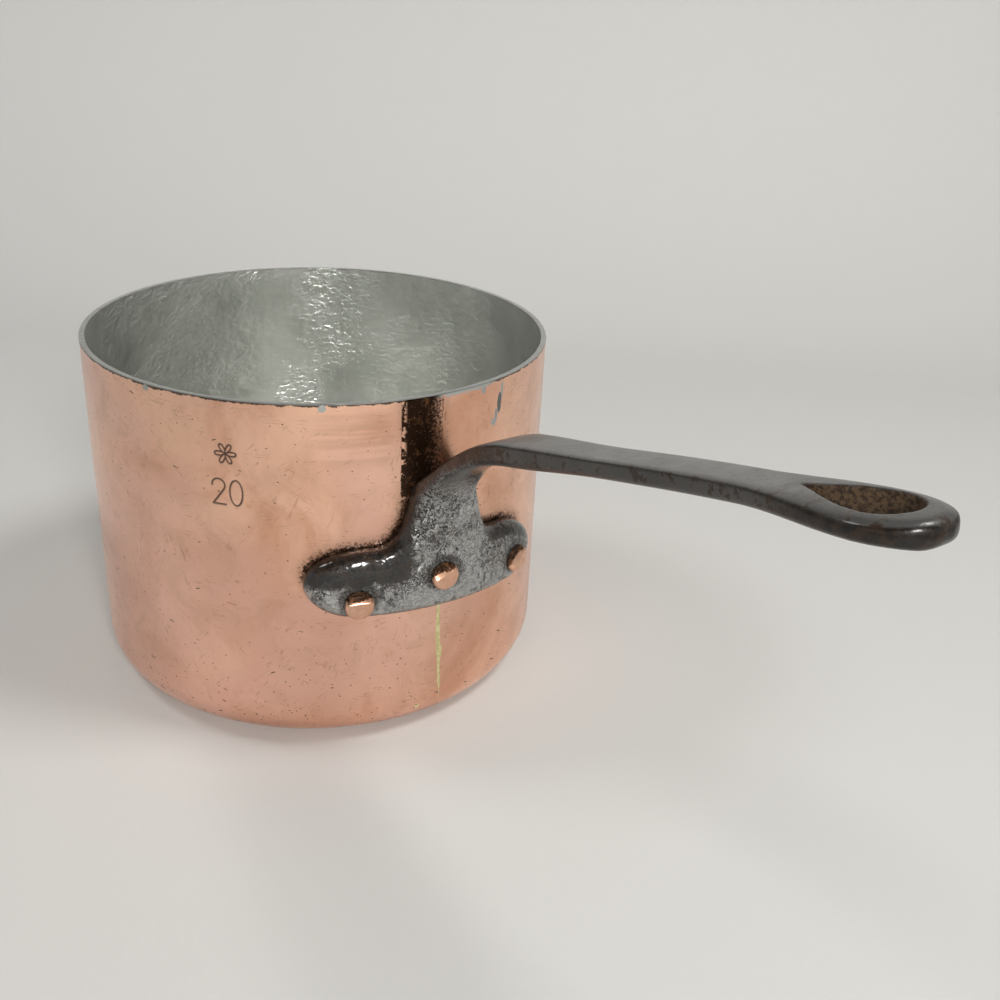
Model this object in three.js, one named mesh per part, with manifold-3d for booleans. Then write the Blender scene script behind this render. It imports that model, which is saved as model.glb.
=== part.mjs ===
// Copper saucepan with an iron handle, in millimetres, +Z up.
// The origin is the centre of the flat underside. The handle points along +X.
//
// The pan is a rolled copper wall and a cupped copper base, brazed together with brass, tinned inside and
// over the rim. One iron casting makes the handle: a foot that follows the wall, a neck, a bar and a loop with
// a hanging eye. Three copper rivets hold it.

import * as THREE from "three";
import { mergeVertices } from "three/addons/utils/BufferGeometryUtils.js";
import Module from "manifold-3d";

// ---------------------------------------------------------------- driving dimensions

// Pan
const panDiameter = 200; // outside
const panHeight = 152; // to the top of the tinned rim
const wallThickness = 2;
const baseThickness = 2.4;
const cornerRadius = 17; // outside, between the wall and the flat of the base
const tinThickness = 0.2;
const sideSeamWidth = 2; // brass between the two edges of the rolled wall
const sideSeamAngle = 1.2; // degrees round the wall from the handle's middle
const baseSeamWidth = 1.8; // brass between the wall and the cupped base
const baseSeamAngle = 20; // degrees down the corner from the wall

// Handle foot, measured along the wall
const footLeftSpan = 55; // middle to the -Y tip
const footRightSpan = 51; // middle to the +Y tip
const footBelowRim = 89; // rim to the lower edge
const footLowerHeight = 14.2; // lower edge up to the level of the tips
const footUpperHeight = 14.2; // tips up to the shoulders
const footFlatHalf = 34; // half of the straight part of the lower edge
const footShoulderHalf = 28; // half-width where the shoulders start to climb
const footRoll = 2.4; // degrees that the foot leans, its -Y tip higher
const footThickness = 8.5;
const footEdge = 2.4; // thickness of the rim of the foot, against the wall
const footLowerRound = 4.5; // how far the lower edge is rounded in
const footUpperRound = 9; // how far the shoulders are rounded in
const footRoundRise = 6; // above the tips, where the rounding has grown to the upper one
const wingEndBelow = 4; // below the shoulders, where the two sides start to become alike
const wingEndAbove = 6; // above the shoulders, where they are alike
const filletStartRun = 0.57; // the fillet's two pulls, as shares of its width and its height
const filletStartRise = 0.03;
const filletEndRun = 0.33;
const filletEndRise = 0.37;

// Handle neck, bar and loop
const neckRootHalfWidth = 12.3;
const neckHalfWidth = 10.2;
const neckRootHeight = 20.6; // shoulders up to where the neck leaves the wall
const neckRootThickness = 11.4;
const neckThickness = 7.2; // at the bend
const neckRise = 10.2; // pull of the curve out of the wall
const neckRun = 22; // pull of the curve into the bar
const neckTaperShare = 0.4; // share of barRootReach in which the neck narrows
const neckThinShare = 0.45; // share of the neck in which it thins
const barRootReach = 52; // wall to the start of the bar
const barRootRise = 36.2; // neck root up to the start of the bar
const barRootThickness = 9.2;
const barHalfWidth = 9;
const barThickness = 7.1;
const barSlope = 0.277; // rise over run at the root
const barEndSlope = 0.16; // rise over run at the loop
const barSettleLength = 40; // in which the neck's width becomes the bar's
const barSettleShare = 0.3; // share of the bar in which its thickness settles
const barLastShare = 0.998; // share of the bar's curve where its blunt end is cut
const handleReach = 209; // wall to the end of the loop
const handleRise = 75.5; // neck root up to the middle of the loop's end
const loopHalfWidth = 15;
const loopThickness = 8;
const loopLength = 58; // end of the loop back to where the bar starts to widen
const loopNose = 18; // length of the loop's round end
const undersidePower = 3.2; // powers of the half-ovals in a section: 2 is round, and more is flatter
const neckRootPower = 3;
const barRootPower = 7;
const loopPower = 4;
const uprightShare = 0.12; // half of the upright part of each side, as a share of the thickness

// Hanging eye: a drop, pointed towards the pan
const eyeLength = 34;
const eyeHalfWidth = 9.3;
const eyeEndWall = 8.3; // iron left between the eye and the end of the loop
const eyePointRun = 0.35; // the pulls at its pointed and round ends, as shares of its length and half-width
const eyePointRise = 0.36;
const eyeRoundRun = 0.62;
const quarterCirclePull = 0.5523; // of a quarter circle's radius

// Rivets
const rivetDiameter = 6.4;
const rivetHeadDiameter = 12.2;
const rivetHeadHeight = 2.6;
const rivetFaceDiameter = 10; // hammered flat on the head
const innerHeadDiameter = 12.6;
const innerHeadHeight = 2.2;
const headSeatShare = 0.96; // of the head's diameter, where it meets the iron
const headWidestShare = 0.45; // of the head's height, where it is widest
const headCrownShare = 0.12; // of the head's height, by which its face is crowned
const headFlatShare = 0.7; // of the face's diameter that is flat
const leftRivetAngle = -19.8; // degrees round the wall from the handle's middle
const middleRivetAngle = -1.1;
const rightRivetAngle = 20.6;
const leftRivetAboveFoot = 9.6; // above the lower edge of the foot
const middleRivetAboveFoot = 15.9;
const rightRivetAboveFoot = 9.4;

// Clearances
const fitGap = 0.1; // between turned pieces that share their facets
const castGap = 0.3; // between the handle and the wall, and round a rivet's shank
const headGap = 0.2; // under a rivet's head

// Fineness
const turnSegments = 72;
const cornerSteps = 4;
const rivetSegments = 20;
const sectionPoints = 12; // across the front, and again across the back, of a handle section
const outlineSteps = 7; // in each of the three curves of the foot's outline
const neckSections = 9;
const barSections = 11; // from the neck to where the loop's closer sections start
const loopSections = 13;
const loopStartShare = 0.72; // share of the bar's curve where they start
const eyeSegments = 7;
const domeSteps = 4; // from the top of an inner rivet head to its rim
const mergeTolerance = 1e-4;
const angleTolerance = 1e-6;

// ---------------------------------------------------------------- derived places

const panRadius = panDiameter / 2;
const wallTop = panHeight - tinThickness - fitGap;
const wallInside = panRadius - wallThickness;
const tinInside = wallInside - fitGap - tinThickness;
const cornerCentre = panRadius - cornerRadius;
const footBottom = panHeight - footBelowRim;
const tipLevel = footBottom + footLowerHeight;
const shoulderLevel = tipLevel + footUpperHeight;
const neckRoot = shoulderLevel + neckRootHeight;
const footBack = panRadius + castGap;
const footFlatTop = footBottom + middleRivetAboveFoot + rivetHeadDiameter / 2 + headGap;
const barStart = panRadius + barRootReach;
const handleEnd = panRadius + handleReach;

const degrees = THREE.MathUtils.degToRad;
const { lerp, smoothstep } = THREE.MathUtils;

// ---------------------------------------------------------------- solids

const wasm = await Module();
wasm.setup();

// A closed geometry as a manifold solid, turned right side out if its faces point inwards.
function solid(geometry) {
  const bare = geometry.index ? geometry.toNonIndexed() : geometry.clone();
  bare.deleteAttribute("normal");
  bare.deleteAttribute("uv");
  const merged = mergeVertices(bare, mergeTolerance);
  const triangles = [];
  const index = merged.index.array;
  for (let i = 0; i < index.length; i += 3) {
    const [a, b, c] = [index[i], index[i + 1], index[i + 2]];
    if (a !== b && b !== c && c !== a) triangles.push(a, b, c);
  }
  const make = () =>
    new wasm.Manifold(
      new wasm.Mesh({
        numProp: 3,
        vertProperties: merged.attributes.position.array,
        triVerts: new Uint32Array(triangles),
      }),
    );
  const first = make();
  if (first.volume() > 0) return first;
  triangles.reverse();
  return make();
}

// A manifold solid as a named mesh.
function part(name, body, material) {
  const mesh = body.getMesh();
  const geometry = new THREE.BufferGeometry();
  geometry.setAttribute("position", new THREE.BufferAttribute(new Float32Array(mesh.vertProperties), 3));
  geometry.setIndex(new THREE.BufferAttribute(new Uint32Array(mesh.triVerts), 1));
  geometry.computeVertexNormals();
  const made = new THREE.Mesh(geometry, material);
  made.name = name;
  return made;
}

// A profile of [radius, height] points turned about the Z axis.
function turned(profile, segments = turnSegments) {
  const points = profile.map(([radius, height]) => new THREE.Vector2(radius, height));
  return new THREE.LatheGeometry(points, segments).rotateX(Math.PI / 2);
}

// Half of the base seam, and the same with its clearance, as angles round the corner in degrees.
const seamHalf = THREE.MathUtils.radToDeg(baseSeamWidth / 2 / cornerRadius);
const seamClear = THREE.MathUtils.radToDeg((baseSeamWidth / 2 + fitGap) / cornerRadius);

// The angles that every piece shares round the corner, so that their facets lie parallel.
const cornerAngles = [0, baseSeamAngle - seamClear, baseSeamAngle - seamHalf, baseSeamAngle + seamHalf];
for (let i = 0; i <= cornerSteps; i++) {
  cornerAngles.push(lerp(baseSeamAngle + seamClear, 90, i / cornerSteps));
}

// A stretch of an ellipse as [radius, height] points, between two of the shared angles: 0 points outwards at the
// level of the centre, 90 straight down.
function cornerArc(halfWidth, halfHeight, from, to) {
  const within = (angle) => angle > from - angleTolerance && angle < to + angleTolerance;
  return cornerAngles.filter(within).map(degrees).map((angle) => [
    cornerCentre + halfWidth * Math.cos(angle),
    cornerRadius - halfHeight * Math.sin(angle),
  ]);
}

// The outside and the inside of the copper along the corner.
function copperBand(from, to) {
  const outside = cornerArc(cornerRadius, cornerRadius, from, to);
  const inside = cornerArc(cornerRadius - wallThickness, cornerRadius - baseThickness, from, to);
  return { outside, inside: inside.reverse() };
}

// ---------------------------------------------------------------- pan

// The wall before its side seam is cut: a straight ring that starts to turn in at its lower edge.
function wallRing() {
  const band = copperBand(0, baseSeamAngle - seamClear);
  const profile = [[wallInside, wallTop], [panRadius, wallTop], ...band.outside, ...band.inside];
  profile.push([wallInside, wallTop]);
  return solid(turned(profile));
}

// A flat bar through the wall at the side seam, from under the base to above the rim.
function seamBar(width) {
  const depth = cornerRadius + 2 * wallThickness;
  const bar = new THREE.BoxGeometry(depth, width, 4 * panHeight);
  return solid(bar.translate(panRadius - depth / 2 + wallThickness, 0, 0).rotateZ(degrees(sideSeamAngle)));
}

// The cupped base: a flat disc with its edge turned up to the base seam.
function baseCup() {
  const band = copperBand(baseSeamAngle + seamClear, 90);
  return solid(turned([[0, 0], ...band.outside.reverse(), ...band.inside.reverse(), [0, baseThickness]]));
}

// The ring of brass between the wall and the base.
function baseSeamRing() {
  const band = copperBand(baseSeamAngle - seamHalf, baseSeamAngle + seamHalf);
  return solid(turned([...band.outside, ...band.inside, band.outside[0]]));
}

// The tin: a cup inside the copper that turns over the rim.
function tinCup() {
  const away = wallThickness + fitGap;
  const under = baseThickness + fitGap;
  const outer = cornerArc(cornerRadius - away, cornerRadius - under, 0, 90).reverse();
  const inner = cornerArc(cornerRadius - away - tinThickness, cornerRadius - under - tinThickness, 0, 90);
  const rim = [
    [wallInside - fitGap, wallTop + fitGap],
    [panRadius, wallTop + fitGap],
    [panRadius, panHeight],
    [tinInside, panHeight],
  ];
  return solid(turned([[0, under], ...outer, ...rim, ...inner, [0, under + tinThickness]]));
}

// ---------------------------------------------------------------- handle

// The longer half of the foot's outline, as [half-width, height] from its lower edge up to the neck root.
function footOutline() {
  const lower = (t) => [
    footFlatHalf + (footLeftSpan - footFlatHalf) * Math.sin((t * Math.PI) / 2),
    tipLevel - footLowerHeight * Math.cos((t * Math.PI) / 2),
  ];
  const upper = (t) => [
    footShoulderHalf + (footLeftSpan - footShoulderHalf) * Math.cos((t * Math.PI) / 2),
    tipLevel + footUpperHeight * Math.sin((t * Math.PI) / 2),
  ];
  const gap = footShoulderHalf - neckRootHalfWidth;
  const fillet = new THREE.CubicBezierCurve(
    new THREE.Vector2(footShoulderHalf, shoulderLevel),
    new THREE.Vector2(
      footShoulderHalf - filletStartRun * gap,
      shoulderLevel + filletStartRise * neckRootHeight,
    ),
    new THREE.Vector2(
      neckRootHalfWidth + filletEndRun * gap,
      shoulderLevel + filletEndRise * neckRootHeight,
    ),
    new THREE.Vector2(neckRootHalfWidth, neckRoot),
  );
  const points = [];
  for (let i = 0; i <= outlineSteps; i++) points.push(lower(i / outlineSteps));
  for (let i = 1; i <= outlineSteps; i++) points.push(upper(i / outlineSteps));
  for (let i = 1; i <= outlineSteps; i++) points.push(fillet.getPoint(i / outlineSteps).toArray());
  return points;
}

// Distance from (across, height) to the foot's edge: its lower line and the outline on the nearer side.
function edgeDistance(outline, across, height) {
  const point = new THREE.Vector3(Math.abs(across), height, 0);
  const nearest = new THREE.Vector3();
  let best = height - footBottom;
  for (let i = 1; i < outline.length; i++) {
    const start = new THREE.Vector3(...outline[i - 1], 0);
    const end = new THREE.Vector3(...outline[i], 0);
    new THREE.Line3(start, end).closestPointToPoint(point, true, nearest);
    best = Math.min(best, nearest.distanceTo(point));
  }
  return Math.max(best, 0);
}

// Rounded edge: 0 at the edge, 1 from the full round inwards, along a quarter of a circle.
function roundIn(distance, round) {
  const left = 1 - Math.min(distance / round, 1);
  return Math.sqrt(Math.max(1 - left * left, 0));
}

// Share of the half-width for each point across a section, closer together near the sides.
function shares(count) {
  return Array.from({ length: count + 1 }, (_, i) => -Math.cos((i * Math.PI) / count));
}

// One closed section of the foot at a height: round the wall on the back, rounded on the front.
function footSection(outline, halfWidth, height) {
  const climb = smoothstep(height, footFlatTop, neckRoot);
  const full = lerp(footThickness, neckRootThickness, climb);
  const rounder = smoothstep(height, footBottom, tipLevel + footRoundRise);
  const round = lerp(footLowerRound, footUpperRound, rounder);
  const lean = Math.tan(degrees(footRoll)) * (1 - smoothstep(height, shoulderLevel, neckRoot));
  const bend = (across, depth) => {
    const angle = across / panRadius;
    const radius = footBack + depth;
    return new THREE.Vector3(radius * Math.cos(angle), radius * Math.sin(angle), height - lean * across);
  };
  const wing = 1 - smoothstep(height, shoulderLevel - wingEndBelow, shoulderLevel + wingEndAbove);
  const shorter = lerp(1, footRightSpan / footLeftSpan, wing);
  const across = shares(sectionPoints).map((share) => share * halfWidth);
  const stretch = (s) => (s > 0 ? s * shorter : s);
  const front = across.map((s) => {
    const rise = roundIn(edgeDistance(outline, s, height), round);
    return bend(stretch(s), footEdge + (full - footEdge) * rise);
  });
  const back = across.map((s) => bend(stretch(s), 0)).reverse();
  return [...front, ...back];
}

// One closed section of the neck, bar or loop: a rounded bar across the handle's path, flatter on its top.
function barSection(point, along, halfWidth, thickness, flatness) {
  const down = new THREE.Vector3(along.y, 0, -along.x);
  const place = (across, depth) =>
    new THREE.Vector3(point.x + down.x * depth, across, point.y + down.z * depth);
  const side = (power) =>
    shares(sectionPoints).map((share) => [
      share * halfWidth,
      (thickness / 2) * (1 - Math.abs(share) ** power) ** (1 / power),
    ]);
  const sideHalf = thickness * uprightShare;
  const front = side(undersidePower).map(([across, depth]) => place(across, Math.max(depth, sideHalf)));
  const back = side(flatness).map(([across, depth]) => place(across, -Math.max(depth, sideHalf)));
  return [...front, ...back.reverse()];
}

// The path of the neck and bar in the plane of symmetry, as x and z.
function handlePath() {
  const rootX = footBack + neckRootThickness / 2;
  const barX = barStart;
  const barZ = neckRoot + barRootRise;
  const endZ = neckRoot + handleRise;
  const pull = (handleEnd - barX) / 3;
  const path = new THREE.CurvePath();
  path.add(
    new THREE.CubicBezierCurve(
      new THREE.Vector2(rootX, neckRoot),
      new THREE.Vector2(rootX, neckRoot + neckRise),
      new THREE.Vector2(barX - neckRun, barZ - neckRun * barSlope),
      new THREE.Vector2(barX, barZ),
    ),
  );
  path.add(
    new THREE.CubicBezierCurve(
      new THREE.Vector2(barX, barZ),
      new THREE.Vector2(barX + pull, barZ + pull * barSlope),
      new THREE.Vector2(handleEnd - pull, endZ - pull * barEndSlope),
      new THREE.Vector2(handleEnd, endZ),
    ),
  );
  return path;
}

// Half-width of the bar at a distance x from the pan's axis: neck, bar, swelling loop and its round end.
function barHalf(x) {
  const neckTaper = smoothstep(x, footBack + neckRootThickness / 2, panRadius + neckTaperShare * barRootReach);
  const neckToBar = smoothstep(x, barStart, barStart + barSettleLength);
  const neck = lerp(neckRootHalfWidth, neckHalfWidth, neckTaper);
  const straight = lerp(neck, barHalfWidth, neckToBar);
  const swell = smoothstep(x, handleEnd - loopLength, handleEnd - loopNose);
  const full = lerp(straight, loopHalfWidth, swell);
  const nose = Math.max((x - (handleEnd - loopNose)) / loopNose, 0);
  return full * Math.sqrt(Math.max(1 - nose * nose, 0));
}

// Thickness of the neck, bar and loop, with the loop's end rounded over.
function barDepth(onNeck, share, x) {
  const neck = share < 0.5
    ? lerp(neckRootThickness, neckThickness, smoothstep(share, 0, neckThinShare))
    : lerp(neckThickness, barRootThickness, smoothstep(share, 0.5, 1));
  if (onNeck) return neck;
  const bar = lerp(barRootThickness, barThickness, smoothstep(share, 0, barSettleShare));
  const full = lerp(bar, loopThickness, smoothstep(x, handleEnd - loopLength, handleEnd - loopNose));
  const nose = Math.max((x - (handleEnd - loopThickness / 2)) / (loopThickness / 2), 0);
  return full * Math.sqrt(Math.max(1 - nose * nose, 0));
}

// The sections of the neck and bar, from the wall out to the loop's end.
function armSections() {
  const [neck, bar] = handlePath().curves;
  const sections = [];
  const add = (curve, share) => {
    const point = curve.getPoint(share);
    const onNeck = curve === neck;
    const depth = barDepth(onNeck, share, point.x);
    const onBar = barRootPower - (barRootPower - loopPower) * share;
    const power = onNeck ? lerp(neckRootPower, barRootPower, share) : onBar;
    sections.push(barSection(point, curve.getTangent(share), barHalf(point.x), depth, power));
  };
  for (let i = 1; i <= neckSections; i++) add(neck, i / neckSections);
  for (let i = 1; i <= barSections; i++) add(bar, (loopStartShare * i) / barSections);
  for (let i = 1; i <= loopSections; i++) {
    const closer = Math.sin((i * Math.PI) / (2 * loopSections));
    add(bar, lerp(loopStartShare, barLastShare, closer));
  }
  return sections;
}

// A solid through closed sections of the same number of points, with flat ends.
function loft(sections) {
  const count = sections[0].length;
  const corners = [];
  const quad = (a, b, c, d) => corners.push(a, b, c, a, c, d);
  for (let k = 1; k < sections.length; k++) {
    for (let i = 0; i < count; i++) {
      const j = (i + 1) % count;
      quad(sections[k - 1][i], sections[k - 1][j], sections[k][j], sections[k][i]);
    }
  }
  const cap = (ring) => {
    for (let i = 0; i < count / 2 - 1; i++) {
      quad(ring[i], ring[count - 1 - i], ring[count - 2 - i], ring[i + 1]);
    }
  };
  cap(sections[0]);
  cap([...sections[sections.length - 1]].reverse());
  return new THREE.BufferGeometry().setFromPoints(corners);
}

// The cutter of the hanging eye: a drop-shaped prism square to the loop.
function eyeCutter() {
  const round = eyeHalfWidth;
  const run = eyeLength - round;
  const pull = eyeRoundRun * run;
  const kappa = quarterCirclePull * round;
  const pointRun = -run + eyePointRun * run;
  const pointRise = eyePointRise * round;
  const drop = new THREE.Shape();
  drop.moveTo(-run, 0);
  drop.bezierCurveTo(pointRun, pointRise, -run + pull, round, 0, round);
  drop.bezierCurveTo(kappa, round, round, kappa, round, 0);
  drop.bezierCurveTo(round, -kappa, kappa, -round, 0, -round);
  drop.bezierCurveTo(-run + pull, -round, pointRun, -pointRise, -run, 0);
  const depth = 4 * loopThickness;
  const prism = new THREE.ExtrudeGeometry(drop, { depth, bevelEnabled: false, curveSegments: eyeSegments });
  prism.translate(0, 0, -depth / 2);
  const [, bar] = handlePath().curves;
  const centreX = handleEnd - eyeEndWall - round;
  const share = 1 - (handleEnd - centreX) / (handleEnd - barStart);
  const tangent = bar.getTangent(share);
  const centre = bar.getPoint(share);
  prism.rotateY(-Math.atan2(tangent.y, tangent.x));
  return solid(prism.translate(centreX, 0, centre.y));
}

function ironHandle() {
  const outline = footOutline();
  const foot = outline.map(([halfWidth, height]) => footSection(outline, halfWidth, height));
  return solid(loft([...foot, ...armSections()])).subtract(eyeCutter());
}

// ---------------------------------------------------------------- rivets

// Each rivet's name, angle round the wall in degrees, and height.
const rivets = [
  ["rivet_left", leftRivetAngle, footBottom + leftRivetAboveFoot],
  ["rivet_middle", middleRivetAngle, footBottom + middleRivetAboveFoot],
  ["rivet_right", rightRivetAngle, footBottom + rightRivetAboveFoot],
];

// Puts a shape made along +X at a rivet's place.
function atRivet(geometry, angle, height) {
  return geometry.rotateZ(degrees(angle)).translate(0, 0, height);
}

// A profile of [distance from the pan's axis, radius] points turned about the X axis.
function turnedAlongX(profile) {
  const points = profile.map(([distance, radius]) => new THREE.Vector2(radius, distance));
  return new THREE.LatheGeometry(points, rivetSegments).rotateZ(-Math.PI / 2);
}

// One rivet: low domed head inside the pan, shank, and an outer head hammered flat.
function rivet(angle, height) {
  const shank = rivetDiameter / 2;
  const inner = innerHeadDiameter / 2;
  const outer = rivetHeadDiameter / 2;
  const innerSeat = Math.sqrt(tinInside ** 2 - inner ** 2) - headGap;
  const outerSeat = footBack + footThickness + headGap;
  const outerTop = outerSeat + rivetHeadHeight;
  const profile = [[innerSeat - innerHeadHeight, 0]];
  for (let i = 1; i <= domeSteps; i++) {
    const lean = (i * Math.PI) / (2 * domeSteps);
    profile.push([innerSeat - innerHeadHeight * Math.cos(lean), inner * Math.sin(lean)]);
  }
  profile.push([innerSeat, shank], [outerSeat, shank], [outerSeat, headSeatShare * outer]);
  profile.push([outerSeat + headWidestShare * rivetHeadHeight, outer]);
  profile.push([outerTop - headCrownShare * rivetHeadHeight, rivetFaceDiameter / 2]);
  profile.push([outerTop, headFlatShare * (rivetFaceDiameter / 2)], [outerTop, 0]);
  return solid(atRivet(turnedAlongX(profile), angle, height));
}

// The bore of one rivet through tin, copper and iron.
function rivetBore(angle, height) {
  const radius = rivetDiameter / 2 + castGap;
  const start = cornerCentre;
  const end = footBack + 3 * footThickness;
  return solid(atRivet(turnedAlongX([[start, 0], [start, radius], [end, radius], [end, 0]]), angle, height));
}

const bores = rivets.map(([, angle, height]) => rivetBore(angle, height));
const bored = (body) => bores.reduce((left, bore) => left.subtract(bore), body);

// ---------------------------------------------------------------- materials

const copper = new THREE.MeshStandardMaterial({ color: 0xd49a7c, roughness: 0.3, metalness: 1 });
const brass = new THREE.MeshStandardMaterial({ color: 0xc8b468, roughness: 0.35, metalness: 1 });
const tin = new THREE.MeshStandardMaterial({ color: 0xa9aca2, roughness: 0.4, metalness: 1 });
const iron = new THREE.MeshStandardMaterial({ color: 0x55524f, roughness: 0.45, metalness: 1 });
const rivetCopper = new THREE.MeshStandardMaterial({ color: 0xcf9274, roughness: 0.3, metalness: 1 });

// ---------------------------------------------------------------- assembly

const saucepan = new THREE.Group();
const ring = wallRing();
saucepan.add(part("copper_wall", bored(ring.subtract(seamBar(sideSeamWidth + 2 * fitGap))), copper));
saucepan.add(part("side_seam", bored(ring.intersect(seamBar(sideSeamWidth))), brass));
saucepan.add(part("copper_base", baseCup(), copper));
saucepan.add(part("base_seam", baseSeamRing(), brass));
saucepan.add(part("tin_lining", bored(tinCup()), tin));
saucepan.add(part("iron_handle", bored(ironHandle()), iron));
for (const [name, angle, height] of rivets) {
  saucepan.add(part(name, rivet(angle, height), rivetCopper));
}

export default saucepan;
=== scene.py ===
"""Copper saucepan with an iron handle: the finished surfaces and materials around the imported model."""

import math

import bmesh
import bpy
import numpy as np
from mathutils import Matrix, Vector


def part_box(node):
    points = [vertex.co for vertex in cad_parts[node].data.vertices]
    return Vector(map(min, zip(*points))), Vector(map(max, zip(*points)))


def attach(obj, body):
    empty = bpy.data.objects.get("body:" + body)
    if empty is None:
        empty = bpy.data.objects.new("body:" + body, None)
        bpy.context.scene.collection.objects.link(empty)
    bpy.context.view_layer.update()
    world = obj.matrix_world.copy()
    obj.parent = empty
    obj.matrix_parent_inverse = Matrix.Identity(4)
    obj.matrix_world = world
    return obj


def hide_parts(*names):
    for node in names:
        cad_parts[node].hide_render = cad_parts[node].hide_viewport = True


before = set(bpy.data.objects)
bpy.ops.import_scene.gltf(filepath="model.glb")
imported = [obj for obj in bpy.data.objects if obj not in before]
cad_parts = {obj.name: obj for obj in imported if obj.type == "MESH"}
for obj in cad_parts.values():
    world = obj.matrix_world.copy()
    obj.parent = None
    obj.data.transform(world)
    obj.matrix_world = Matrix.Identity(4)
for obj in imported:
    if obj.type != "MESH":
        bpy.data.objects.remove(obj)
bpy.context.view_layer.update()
MM = 0.001
merge_distance = 1e-6
sharp_angle = math.radians(38)

# ------------ camera
# The camera stands on the handle's side of the pan, a little above it, and looks down across the rim. It is
# turned by its heading round Z, then tipped down, then rolled.

camera_place = Vector((0.42635, -0.21443, 0.29655))
camera_heading = math.radians(143.204)
camera_tip = math.radians(-25.658)
camera_roll = math.radians(3.22)

ahead = Vector((
    math.cos(camera_tip) * math.cos(camera_heading),
    math.cos(camera_tip) * math.sin(camera_heading),
    math.sin(camera_tip),
))
level_right = Vector((math.sin(camera_heading), -math.cos(camera_heading), 0))
level_up = level_right.cross(ahead)
right = math.cos(camera_roll) * level_right + math.sin(camera_roll) * level_up
up = math.cos(camera_roll) * level_up - math.sin(camera_roll) * level_right

camera_data = bpy.data.cameras.new("camera")
camera_data.lens = 39.75
camera_data.sensor_width = 36
camera_data.clip_start = 0.01
camera = bpy.data.objects.new("camera", camera_data)
camera.matrix_world = Matrix.Translation(camera_place) @ Matrix((right, up, -ahead)).transposed().to_4x4()
bpy.context.collection.objects.link(camera)
bpy.context.scene.camera = camera

# ------------ room
# A pale cloth-covered table that sweeps up behind the pan, a dim room above it, and soft lamps overhead.

sweep_start = 0.42
sweep_radius = 0.30
sweep_top = 0.95
table_reach = 3.0
table_colour = (0.62, 0.615, 0.60, 1)
sky_colour = (0.98, 1.0, 0.985, 1)
sky_light, sky_dark = 0.54, 0.010
sky_low, sky_high = 0.42, 0.60
lamp_colour = (1.0, 0.99, 0.965)


def set_inputs(made, inputs):
    """Gives a node's inputs their values, or links them to outputs of other nodes."""
    for socket, value in dict(inputs).items():
        if isinstance(value, bpy.types.NodeSocket):
            made.id_data.links.new(value, made.inputs[socket])
        else:
            made.inputs[socket].default_value = value
    return made


def node(owner, kind, inputs=(), **settings):
    """Adds a shader node to the owner's tree: settings are its properties, inputs go to its sockets."""
    made = owner.id_data.nodes.new("ShaderNode" + kind)
    for key, value in settings.items():
        setattr(made, key, value)
    return set_inputs(made, inputs)


def new_material(name):
    """An empty node material: its Principled BSDF, wired to the output, and its Object coordinates."""
    material = bpy.data.materials.new(name)
    material.use_nodes = True
    tree = material.node_tree
    tree.nodes.clear()
    bsdf = node(tree, "BsdfPrincipled")
    node(tree, "OutputMaterial", {"Surface": bsdf.outputs["BSDF"]})
    return material, bsdf, node(tree, "TexCoord").outputs["Object"]


def noise(vector, scale, detail=2, roughness=0.5, distortion=0):
    """The value of a noise texture over the coordinates."""
    inputs = {"Scale": scale, "Detail": detail, "Roughness": roughness, "Distortion": distortion}
    return node(vector, "TexNoise", {"Vector": vector, **inputs}).outputs["Fac"]


def bumped(relief, strength, distance):
    """The normal tilted by a relief."""
    inputs = {"Height": relief, "Strength": strength, "Distance": distance}
    return node(relief, "Bump", inputs).outputs["Normal"]


def grid_mesh(name, points, materials, closed=(False, False), caps=False):
    """A mesh over a grid of points, in millimetres: one quad for each cell of rows and columns.

    closed joins the last row or the last column to the first. caps closes the first and the last column of
    a grid whose rows go round a thin section, pairing each point with the one opposite. Points that fall
    together, as at a pole, are merged, and the faces are turned outwards when the volume comes out negative.
    """
    rows, columns = points.shape[:2]
    row = np.arange(rows if closed[0] else rows - 1)
    column = np.arange(columns if closed[1] else columns - 1)
    a, b = np.meshgrid(row, column, indexing="ij")
    a, b = a.ravel(), b.ravel()
    a2, b2 = (a + 1) % rows, (b + 1) % columns
    quads = np.stack([a * columns + b, a * columns + b2, a2 * columns + b2, a2 * columns + b], axis=1)
    if caps:
        k = np.arange(rows // 2 - 1)
        near = np.stack([k, k + 1, rows - 2 - k, rows - 1 - k], axis=1) * columns
        quads = np.concatenate([quads, near, near[:, ::-1] + columns - 1])
    flat = points.reshape(-1, 3) * MM
    first, second, third, fourth = (flat[quads[:, i]] for i in range(4))
    volume = np.einsum("ij,ij->i", first, np.cross(second, third) + np.cross(third, fourth)).sum()
    if volume < 0:
        quads = quads[:, ::-1]
    mesh = bpy.data.meshes.new(name)
    mesh.from_pydata(flat.tolist(), [], quads.tolist())
    work = bmesh.new()
    work.from_mesh(mesh)
    bmesh.ops.remove_doubles(work, verts=work.verts, dist=merge_distance)
    work.to_mesh(mesh)
    work.free()
    mesh.polygons.foreach_set("use_smooth", np.ones(len(mesh.polygons), dtype=bool))
    mesh.set_sharp_from_angle(angle=sharp_angle)
    for material in materials:
        mesh.materials.append(material)
    made = bpy.data.objects.new(name, mesh)
    bpy.context.collection.objects.link(made)
    return made


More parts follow.
